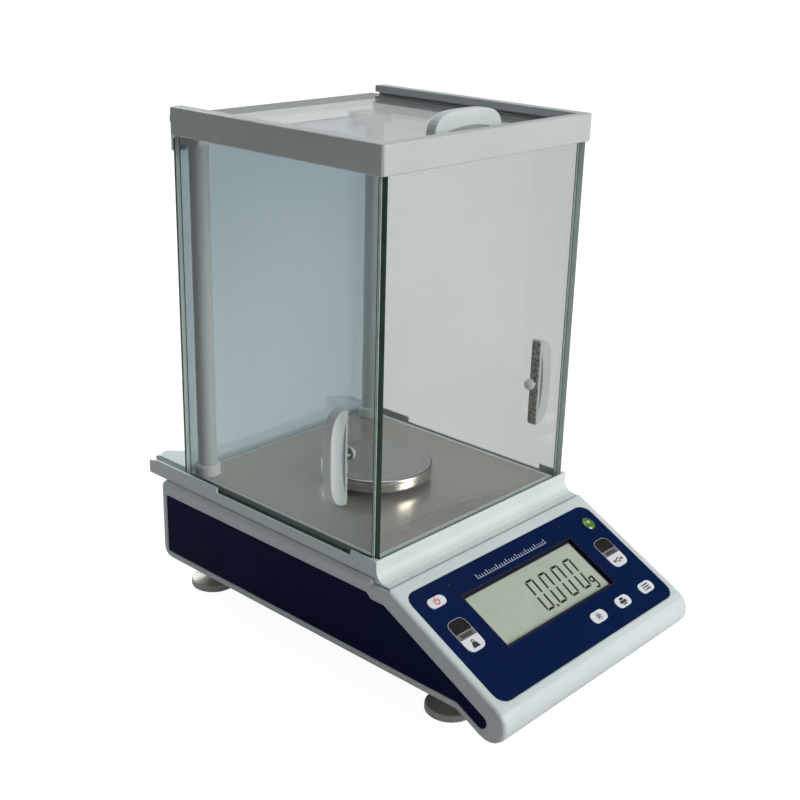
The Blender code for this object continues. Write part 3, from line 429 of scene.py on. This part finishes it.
CARRIED = {
    HOUSING: ("base_housing",),
    DECK: ("weighing_deck",),
    FRAME: ("top_frame",),
    NAVY: ("side_panel_left", "side_panel_right"),
    KEYPAD: ("keypad_panel",),
    WHITE: ("level_cup", "left_door_nut", "right_door_nut", "top_door_nut", "pane_clip_left",
            "pane_clip_right"),
    COLLAR: ("collar_left", "collar_right", "column_cap_left", "column_cap_right"),
    FILM: ("key_power", "key_left", "key_right", "key_front_1", "key_front_2", "key_front_3"),
    BLACK: ("display_bezel", "rear_panel", "power_jack", "hook_cover"),
    RUBBER: tuple(f"foot_pad_{foot}" for foot in FEET),
    TUBE: ("column_left", "column_right"),
    PLATE: ("floor_plate",),
    BASE_METAL: ("base_plate", "serial_port"),
    CELL: ("load_cell", "pan_carrier"),
    SCREWS: tuple(f"base_screw_{i}" for i in range(1, 5)),
    BOARD: ("display_board", "main_board"),
    LCD: ("lcd_screen",),
}
for mat, names in CARRIED.items():
    for name in names:
        paint(name, mat)

SIDE_HANDLE_Y = sum(corner.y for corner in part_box("left_door_handle")) / 2.0
TOP_HANDLE_Y = sum(corner.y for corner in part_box("top_door_handle")) / 2.0
OFF_WHITE = srgb(210, 218, 218)
paint("left_door_handle", handle_plastic("left_handle_moulded", SIDE_HANDLE_Y, OFF_WHITE))
# Painted light: the right handle takes a lighter copy of the handle plastic because it sits in shade
# behind the glass.
paint("right_door_handle", handle_plastic("right_handle_lightened", SIDE_HANDLE_Y, srgb(238, 242, 242)))
paint("top_door_handle", handle_plastic("top_handle_moulded", TOP_HANDLE_Y, OFF_WHITE))

FRONT_TINT = (0.950, 0.960, 0.958, 1.0)
DOOR_TINT = (0.745, 0.755, 0.760, 1.0)
REAR_TINT = (0.90, 0.96, 0.98, 1.0)
PANE_LOW, PANE_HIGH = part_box("rear_glass")
# Rear pane: a pale veil, lighter at the foot and darker towards the top, is a painted reflection.
REAR_REFLECTION_VEIL = (PANE_LOW.z, PANE_HIGH.z, srgb(240, 250, 250), srgb(196, 218, 224), 0.48)
paint("front_glass", pane_glass("glass_across_y", 1, FRONT_TINT, (0, 0.0)))
paint("rear_glass", pane_glass("glass_rear_painted_reflection", 1, REAR_TINT, None, REAR_REFLECTION_VEIL))
DOOR_GLASS = pane_glass("glass_across_x", 0, DOOR_TINT, (1, -1.0))
paint("left_door_glass", DOOR_GLASS)
paint("right_door_glass", DOOR_GLASS)
# Top pane: a faint, nearly even pale veil is a painted reflection.
TOP_REFLECTION_VEIL = (PANE_LOW.z, PANE_HIGH.z, srgb(240, 244, 246), srgb(232, 236, 238), 0.13)
paint("top_door_glass", pane_glass("glass_top_painted_reflection", 2, FRONT_TINT, None, TOP_REFLECTION_VEIL))


# ---------------------------------------------------------------- pan
def pan():
    """Weighing pan: shallow polished rim, turned top and a deep skirt with a rolled lip."""
    low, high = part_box("pan")
    centre = ((low.x + high.x) / 2.0, (low.y + high.y) / 2.0, high.z)
    radius = (high.x - low.x) / 2.0
    profile = [(0.0, -0.0012), (0.010, -0.0012), (0.024, -0.0010), (radius - 0.0046, -0.0006),
               (radius - 0.0028, -0.0002), (radius - 0.0017, 0.0), (radius - 0.0009, -0.0002),
               (radius - 0.0003, -0.0007), (radius, -0.0015),
               (radius, -0.0072), (radius - 0.0001, -0.0080), (radius - 0.0006, -0.0085),
               (radius - 0.0012, -0.0080), (radius - 0.0012, -0.0030), (0.0075, -0.0028),
               (0.0070, -0.0110), (0.0038, -0.0110), (0.0038, -0.0053), (0.0, -0.0053)]
    bm = bmesh.new()
    lathe(bm, profile, centre, 128)
    top = turned_metal("pan_turned", srgb(196, 194, 188), 0.32, centre, 0.70)
    rim = turned_metal("pan_rim_polished", srgb(226, 222, 216), 0.24, centre)
    # Painted shade: the underside, inner skirt and stem are painted dark brown-grey for the shade
    # under the pan; they are the same metal as the top.
    under = turned_metal("pan_underside_painted_shade", srgb(52, 48, 44), 0.5, centre, 0.3)
    made = piece("pan_dish", bm, [top, rim, under], "pan_body", 40, ("pan",))
    for face in made.data.polygons:
        away = math.hypot(face.center.x - centre[0], face.center.y - centre[1])
        below = centre[2] - face.center.z > 0.0025 and away < radius - 0.0005
        face.material_index = 2 if below else int(away > radius - 0.0028)


# ---------------------------------------------------------------- levelling feet
def foot(name):
    """Knurled levelling screw: straight fine knurl on the band, thread on the stem."""
    node = f"foot_screw_{name}"
    low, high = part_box(node)
    centre = ((low.x + high.x) / 2.0, (low.y + high.y) / 2.0, 0.0)
    radius = (high.x - low.x) / 2.0
    teeth = 72
    band = [(radius - 0.0012, 0.0004), (radius - 0.0004, 0.0008), (radius - 0.0002, 0.0012),
            (radius - 0.0002, 0.0047), (radius - 0.0004, 0.0051), (radius - 0.0012, 0.0055)]
    thread = []
    pitch = 0.00125
    turns = 12
    for k in range(turns):
        z = 0.0080 + pitch * k
        thread += [(0.0036, z), (0.0040, z + pitch / 2.0)]
    profile = [(0.0, 0.0017), (0.0123, 0.0017), (0.0123, 0.0004), *band, (0.0092, 0.0062),
               (0.0080, 0.0068), (0.0052, 0.0072), (0.0040, 0.0074), *thread,
               (0.0040, 0.0240), (0.0040, high.z), (0.0, high.z)]

    def knurl(i, k):
        """The band's points go in and out tooth by tooth."""
        deep = {4: 0.4, 5: 1.0, 6: 1.0, 7: 0.4}.get(i, 0.0)
        return -0.0005 * deep if k % 2 else 0.0002 * deep

    bm = bmesh.new()
    lathe(bm, profile, centre, teeth * 2, knurl)
    # Painted light: the steel screw gets near-white, mostly non-metallic colours that stand for light
    # it lacks in the shade under the housing; the top is a darker copy than the knurl.
    side = turned_metal(f"foot_knurl_lightened_{name}", srgb(244, 243, 236), 0.36, centre, 0.0)
    top = turned_metal(f"foot_top_lightened_{name}", srgb(206, 204, 192), 0.40, centre, 0.20)
    made = piece(f"foot_{name}", bm, [side, top], f"foot_{name}_screw_body", 24,
                 (node,))
    for face in made.data.polygons:
        face.material_index = 1 if face.center.z > 0.0055 else 0


# ---------------------------------------------------------------- level
LEVEL_X = 0.0840
LEVEL_S = 0.0150
LEVEL_RADIUS = 0.0051


def level_ring(name, profile, sides, squash, mat, smooth=None):
    """Closed ring round the level, made of a (radius, height off the slope) profile."""
    bm = bmesh.new()
    for k in range(sides):
        a = 2.0 * math.pi * k / sides
        b = 2.0 * math.pi * (k + 1) / sides
        for i, near in enumerate(profile):
            far = profile[(i + 1) % len(profile)]
            bm.faces.new([bm.verts.new(console_point(LEVEL_X + r * math.cos(t),
                                                     LEVEL_S + r * math.sin(t) * squash, n))
                          for (r, n), t in ((near, a), (far, a), (far, b), (near, b))])
    bmesh.ops.remove_doubles(bm, verts=bm.verts, dist=1e-6)
    piece(name, bm, [mat], "base", smooth)


def console_lathe(bm, profile, u, s, sides=48):
    """Turns a (radius, height off the slope) profile about an axis square to the console."""
    start = len(bm.verts)
    lathe(bm, profile, (0.0, 0.0, 0.0), sides)
    bm.verts.ensure_lookup_table()
    for vert in bm.verts[start:]:
        vert.co = console_point(u + vert.co.x, s - vert.co.y, vert.co.z)


def level():
    """Round level: green liquid under a glass dome, a bubble, a marking ring and a rim."""
    liquid = glossy("level_liquid", srgb(96, 150, 60), 0.14, srgb(58, 104, 36))
    bubble = glossy("level_bubble", srgb(206, 230, 160), 0.04, srgb(178, 208, 120))
    mark = ink("level_mark", srgb(18, 44, 20))
    dome = []
    for k in range(11):
        t = k / 10.0
        dome.append((LEVEL_RADIUS * t, 0.0020 * math.sqrt(1.0 - 0.92 * t * t) - 0.0004))
    bm = bmesh.new()
    console_lathe(bm, [*dome, (LEVEL_RADIUS, -0.0020), (0.0, -0.0020)], LEVEL_X, LEVEL_S)
    piece("level_glass", bm, [liquid], "base", 30, ("level_vial",))
    bm = bmesh.new()
    console_lathe(bm, [(0.0, 0.00190), (0.0007, 0.00186), (0.0013, 0.00166), (0.0014, 0.0012),
                       (0.0, 0.0012)], LEVEL_X - 0.0010, LEVEL_S - 0.0008, 32)
    piece("level_bubble", bm, [bubble], "base", 40)
    ring = [(0.0024, 0.00135), (0.0024, 0.00147), (0.0028, 0.00140), (0.0028, 0.00125)]
    level_ring("level_ring", ring, 40, 1.0, mark)
    rim = [(0.0049, -0.0001), (0.0050, 0.0003), (0.0054, 0.0005), (0.0060, 0.0004),
           (0.0063, -0.0001)]
    level_ring("level_rim", rim, 48, 1.08, KEYPAD, 30)


# ---------------------------------------------------------------- display
def zero_digit(left, top, width, height, stroke, lean):
    """The six lit bars of a slanted seven-segment nought."""
    half = height / 2.0
    gap = 0.00030
    cut = stroke / 2.0
    bars = []
    for v in (0.0, height):
        inward = stroke if v == 0.0 else -stroke
        bars.append([(cut * 0.4 + gap, v), (width - cut * 0.4 - gap, v),
                     (width - stroke - gap, v + inward), (stroke + gap, v + inward)])
    for v, w in ((0.0, half), (half, height)):
        for u, inward in ((0.0, stroke), (width, -stroke)):
            a, b = (v + gap, w - gap)
            low_in, high_in = (stroke, cut) if v == 0.0 else (cut, stroke)
            bars.append([(u, a + cut * 0.4), (u, b - cut * 0.4), (u + inward, b - high_in),
                         (u + inward, a + low_in)])
    shapes = []
    for bar in bars:
        shapes.append([(left + u + lean * (1.0 - v / height), top + v) for u, v in bar])
    return shapes


LCD_LEVEL = -0.0030               # face of the display cell, below the slope
DIGIT_FIRST_X = -0.0068
DIGIT_PITCH = 0.01375
DIGIT_TOP_S = 0.0289
DIGIT_WIDTH = 0.0084
DIGIT_HEIGHT = 0.0255
DIGIT_STROKE = 0.0017
DIGIT_LEAN = 0.0024


def display():
    """Reading 0.000 with the gram sign."""
    dark = ink("lcd_segment", srgb(34, 38, 34), 0.35)
    lit = []
    for k in range(4):
        lit += zero_digit(DIGIT_FIRST_X + DIGIT_PITCH * k, DIGIT_TOP_S, DIGIT_WIDTH, DIGIT_HEIGHT,
                          DIGIT_STROKE, DIGIT_LEAN)
    foot_v = DIGIT_TOP_S + DIGIT_HEIGHT
    lit.append(oblong(DIGIT_FIRST_X + DIGIT_WIDTH + 0.0027, foot_v - 0.0003, 0.0009, 0.0009))
    unit_u, unit_v = DIGIT_FIRST_X + DIGIT_PITCH * 4 - 0.0013, foot_v - 0.0040
    lit += arc_band(unit_u, unit_v, 0.0026, 0.0013, steps=16)
    lit.append(oblong(unit_u + 0.0023, unit_v + 0.0014, 0.0007, 0.0038))
    lit += arc_band(unit_u + 0.0003, unit_v + 0.0050, 0.0027, 0.0013, 0.0, math.pi * 0.85, 8)
    printed("lcd_reading", lit, LCD_LEVEL, dark, "base")


# ---------------------------------------------------------------- keypad print
KEYPAD_LEVEL = -0.0001            # face of the keypad overlay
WINDOW_HALF_U = 0.0579
WINDOW_HALF_V = 0.0215
WINDOW_S = 0.0396
BORDER = 0.0005                   # half the width of the window's border
RULE_MARKS = 29
RULE_LENGTH = 0.0720
RULE_S = 0.0128


def keypad_print():
    """A graduated rule in place of wording, two fixing dots and the border of the window."""
    pale = ink("ink_pale", srgb(176, 186, 204))
    dark = ink("ink_dark", srgb(8, 10, 18))
    marks = []
    for k in range(RULE_MARKS):
        u = RULE_LENGTH * (k / (RULE_MARKS - 1) - 0.5)
        tall = 0.0018 if k % 4 == 0 else 0.0011
        marks.append(oblong(u, RULE_S - tall, 0.00032, tall))
    marks.append(oblong(0.0, RULE_S + 0.0001, 0.0363, 0.00016))
    printed("rule_print", marks, KEYPAD_LEVEL, pale, "base")
    dots = [oblong(u, 0.0070, 0.0009, 0.0009, 0.00085) for u in (-0.0597, 0.0582)]
    printed("dot_print", dots, KEYPAD_LEVEL, dark, "base")
    border = [oblong(0.0, WINDOW_S + side * (WINDOW_HALF_V + BORDER), WINDOW_HALF_U + 2.0 * BORDER,
                     BORDER) for side in (-1.0, 1.0)]
    border += [oblong(side * (WINDOW_HALF_U + BORDER), WINDOW_S, BORDER, WINDOW_HALF_V)
               for side in (-1.0, 1.0)]
    printed("window_border_print", border, KEYPAD_LEVEL, dark, "base")


KEY_LEVEL = 0.0003                # face of a key, above the slope
TALL_KEY_HALF_U = 0.0077
# name: x, distance down from the keypad's upper edge
KEY_PLACES = {"key_power": (-0.0776, 0.0134), "key_left": (-0.0780, 0.0415),
              "key_right": (0.0782, 0.0415), "key_front_1": (0.0219, 0.0756),
              "key_front_2": (0.0501, 0.0756), "key_front_3": (0.0783, 0.0756)}


def power_sign(u, v):
    shapes = arc_band(u, v, 0.0025, 0.0016, -math.pi * 0.5 + 0.6, 2.0 * math.pi - 1.2, 20)
    shapes.append(oblong(u, v - 0.0016, 0.00045, 0.0015))
    return shapes


def weight_sign(u, v):
    """A weight with its knob."""
    body = [(u - 0.0020, v - 0.0008), (u + 0.0020, v - 0.0008), (u + 0.0032, v + 0.0028),
            (u - 0.0032, v + 0.0028)]
    return [body, *arc_band(u, v - 0.0019, 0.0014, 0.0006, steps=12)]


def zero_sign(u, v):
    """Arrows towards a ring: back to nought."""
    shapes = arc_band(u, v, 0.0020, 0.0012, steps=16)
    for side in (-1.0, 1.0):
        shapes.append([(u + side * 0.0023, v), (u + side * 0.0040, v - 0.0015),
                       (u + side * 0.0040, v + 0.0015)])
        shapes.append(oblong(u + side * 0.0046, v, 0.0007, 0.0005))
    return shapes


def light_sign(u, v):
    shapes = arc_band(u, v, 0.0014, 0.0005, steps=14)
    for k in range(8):
        a = math.pi / 4.0 * k
        ray = [(0.0018, -0.00034), (0.0029, -0.00034), (0.0029, 0.00034), (0.0018, 0.00034)]
        c, d = math.cos(a), math.sin(a)
        shapes.append([(u + r * c - t * d, v + r * d + t * c) for r, t in ray])
    return shapes


def sheet_sign(u, v):
    """A printed sheet leaving a printer."""
    return [oblong(u, v + 0.0004, 0.0034, 0.0010, 0.0003, 2), oblong(u, v - 0.0019, 0.0020, 0.0009),
            oblong(u, v + 0.0023, 0.0022, 0.0005)]


def list_sign(u, v):
    """Lines of a menu with their bullets."""
    shapes = []
    for k in (-1, 0, 1):
        shapes.append(oblong(u - 0.0029, v + 0.0019 * k, 0.0006, 0.0006))
        shapes.append(oblong(u + 0.0009, v + 0.0019 * k, 0.0025, 0.0005))
    return shapes


def key_print():
    """Signs on the keys, each riding with its own key."""
    black = ink("ink_black", srgb(26, 22, 24), 0.34)
    grey = ink("ink_grey", srgb(112, 108, 108), 0.4)
    red = ink("ink_red", srgb(212, 74, 92), 0.4)
    dark = ink("ink_sign", srgb(52, 54, 66), 0.4)
    signs = {"key_power": (power_sign, 0.0, red), "key_left": (weight_sign, 0.0075, dark),
             "key_right": (zero_sign, 0.0075, dark), "key_front_1": (light_sign, 0.0, dark),
             "key_front_2": (sheet_sign, 0.0, dark), "key_front_3": (list_sign, 0.0, dark)}
    for key, (draw, down, mat) in signs.items():
        u, v = KEY_PLACES[key]
        printed(f"{key}_sign", draw(u, v + down), KEY_LEVEL, mat, f"{key}_body")
    for key in ("key_left", "key_right"):
        u, v = KEY_PLACES[key]
        left, right = u - TALL_KEY_HALF_U, u + TALL_KEY_HALF_U
        cap = rounded([(left, v - 0.0121, 0.0047), (right, v - 0.0121, 0.0047),
                       (right, v - 0.0022, 0.0), (left, v - 0.0022, 0.0)])
        band = [(left, v - 0.0020), (right, v - 0.0020), (right, v + 0.0023), (left, v + 0.0023)]
        ticks = [oblong(u + 0.0021 * k, v + 0.0002, 0.0006, 0.0012) for k in range(-2, 3)]
        for part, shapes, level_n, mat in (("window", [cap], KEY_LEVEL, black),
                                           ("band", [band], KEY_LEVEL, grey),
                                           ("ticks", ticks, KEY_LEVEL + PRINT, black)):
            printed(f"{key}_{part}", shapes, level_n, mat, f"{key}_body")


# ---------------------------------------------------------------- small fittings
PAD_GAP = 0.00002                 # between a pad and what it touches


def handle_pads():
    """Mounting pads of foam between each handle and its glass."""
    m = Surface("foam_pad")
    speck = m.band(m.noise(340.0, 3.0), 0.50, 0.56)
    m.set("Base Color", m.mix(speck, srgb(226, 230, 196), srgb(112, 112, 96)))
    m.set("Roughness", m.band(speck, 0.0, 1.0, 0.7, 0.85))
    m.relief((m.noise(900.0), 0.5, 0.0001), radius=0.00005)
    for door in ("left_door", "right_door", "top_door"):
        low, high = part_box(f"{door}_handle")
        glass_low, glass_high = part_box(f"{door}_glass")
        middle = (low + high) / 2.0
        half = (high - low) / 2.0
        bm = bmesh.new()
        if door == "top_door":
            outline = oblong(middle.x, middle.y, half.x - 0.0008, half.y - 0.0004, 0.0015)
            add_prism(bm, outline, glass_high.z + PAD_GAP, low.z - PAD_GAP,
                      lambda u, v, n: (u, v, n))
        else:
            gap = (high.x, glass_low.x) if door == "left_door" else (glass_high.x, low.x)
            outline = oblong(middle.y, middle.z, half.y - 0.0004, half.z - 0.0008, 0.0015)
            add_prism(bm, outline, gap[0] + PAD_GAP, gap[1] - PAD_GAP,
                      lambda u, v, n: (n, u, v))
        piece(f"{door}_pad", bm, [m.data], door)


pan()
for name in FEET:
    foot(name)
level()
display()
keypad_print()
key_print()
handle_pads()


# ---------------------------------------------------------------- stage, light and camera
def stage():
    m = Surface("floor_paper")
    tone = m.band(m.noise(1.5, 3.0), 0.3, 0.7)
    m.set("Base Color", m.mix(tone, (0.10, 0.10, 0.10, 1.0), (0.12, 0.12, 0.12, 1.0)))
    m.set("Roughness", m.band(tone, 0.0, 1.0, 0.85, 0.95))
    glow = m.node("ShaderNodeEmission", {"Color": (1.0, 1.0, 1.0, 1.0), "Strength": 0.96})
    lit = m.node("ShaderNodeAddShader", {0: m.shader.outputs[0], 1: glow.outputs[0]}).outputs[0]
    dull = m.node("ShaderNodeBsdfDiffuse", {"Color": (0.62, 0.62, 0.62, 1.0)}).outputs[0]
    seen = m.node("ShaderNodeLightPath").outputs["Is Camera Ray"]
    both = m.node("ShaderNodeMixShader", {0: seen, 1: dull, 2: lit}).outputs[0]
    m.tree.links.new(both, m.output.inputs["Surface"])
    bm = bmesh.new()
    bmesh.ops.create_grid(bm, x_segments=12, y_segments=12, size=14.0)
    mesh = bpy.data.meshes.new("floor")
    bm.to_mesh(mesh)
    bm.free()
    mesh.materials.append(m.data)
    floor = bpy.data.objects.new("floor", mesh)
    floor.location.z = CAD_BOX[0][2] - 0.0001
    bpy.context.scene.collection.objects.link(floor)


def soft_light(name, place, target, size, power, colour):
    data = bpy.data.lights.new(name, "AREA")
    data.shape = "DISK"
    data.size = size
    data.energy = power
    data.color = colour
    lamp = bpy.data.objects.new(name, data)
    lamp.location = place
    aim = Vector(target) - Vector(place)
    lamp.rotation_euler = aim.to_track_quat("-Z", "Y").to_euler()
    bpy.context.scene.collection.objects.link(lamp)


def lights():
    world = bpy.data.worlds.new("studio")
    world.use_nodes = True
    tree = world.node_tree
    background = tree.nodes["Background"]
    background.inputs["Color"].default_value = (0.93, 0.96, 1.0, 1.0)
    background.inputs["Strength"].default_value = 0.16
    backdrop = tree.nodes.new("ShaderNodeBackground")
    backdrop.inputs["Color"].default_value = (1.0, 1.0, 1.0, 1.0)
    backdrop.inputs["Strength"].default_value = 1.0
    seen = tree.nodes.new("ShaderNodeLightPath")
    both = tree.nodes.new("ShaderNodeMixShader")
    tree.links.new(seen.outputs["Is Camera Ray"], both.inputs[0])
    tree.links.new(background.outputs[0], both.inputs[1])
    tree.links.new(backdrop.outputs[0], both.inputs[2])
    tree.links.new(both.outputs[0], tree.nodes["World Output"].inputs["Surface"])
    bpy.context.scene.world = world
    white = (1.0, 1.0, 1.0)
    centre = (0.0, 0.0, 0.18)
    nose = (0.0, -0.16, 0.03)
    soft_light("key_light", (0.8, -2.4, 1.1), centre, 1.4, 52.0, (1.0, 0.99, 0.97))
    soft_light("front_card", (0.45, -1.3, 0.12), nose, 0.5, 2.2, white)
    soft_light("top_light", (0.3, 0.2, 2.4), centre, 1.8, 14.0, white)
    soft_light("sky_card", (1.9, 2.2, 1.5), centre, 2.4, 6.0, white)
    soft_light("rear_light", (0.5, 2.4, 1.2), centre, 1.6, 44.0, (0.96, 0.98, 1.0))


def camera():
    azimuth = math.radians(-47.76)
    elevation = math.radians(20.52)
    roll = math.radians(1.53)
    back = Vector((math.sin(azimuth) * math.cos(elevation),
                   -math.cos(azimuth) * math.cos(elevation), math.sin(elevation)))
    right = Vector((math.cos(azimuth), math.sin(azimuth), 0.0))
    up = back.cross(right)
    across = right * math.cos(roll) + up * math.sin(roll)
    along = up * math.cos(roll) - right * math.sin(roll)
    data = bpy.data.cameras.new("front_camera")
    data.lens = 57.79
    data.sensor_width = 36.0
    data.clip_end = 60.0
    view = bpy.data.objects.new("front_camera", data)
    turn = Matrix((across, along, back)).transposed().to_4x4()
    view.matrix_world = Matrix.Translation((-0.6167, -0.5478, 0.4669)) @ turn
    bpy.context.scene.collection.objects.link(view)
    bpy.context.scene.camera = view


stage()
lights()
camera()
bpy.context.scene.view_settings.view_transform = "Standard"
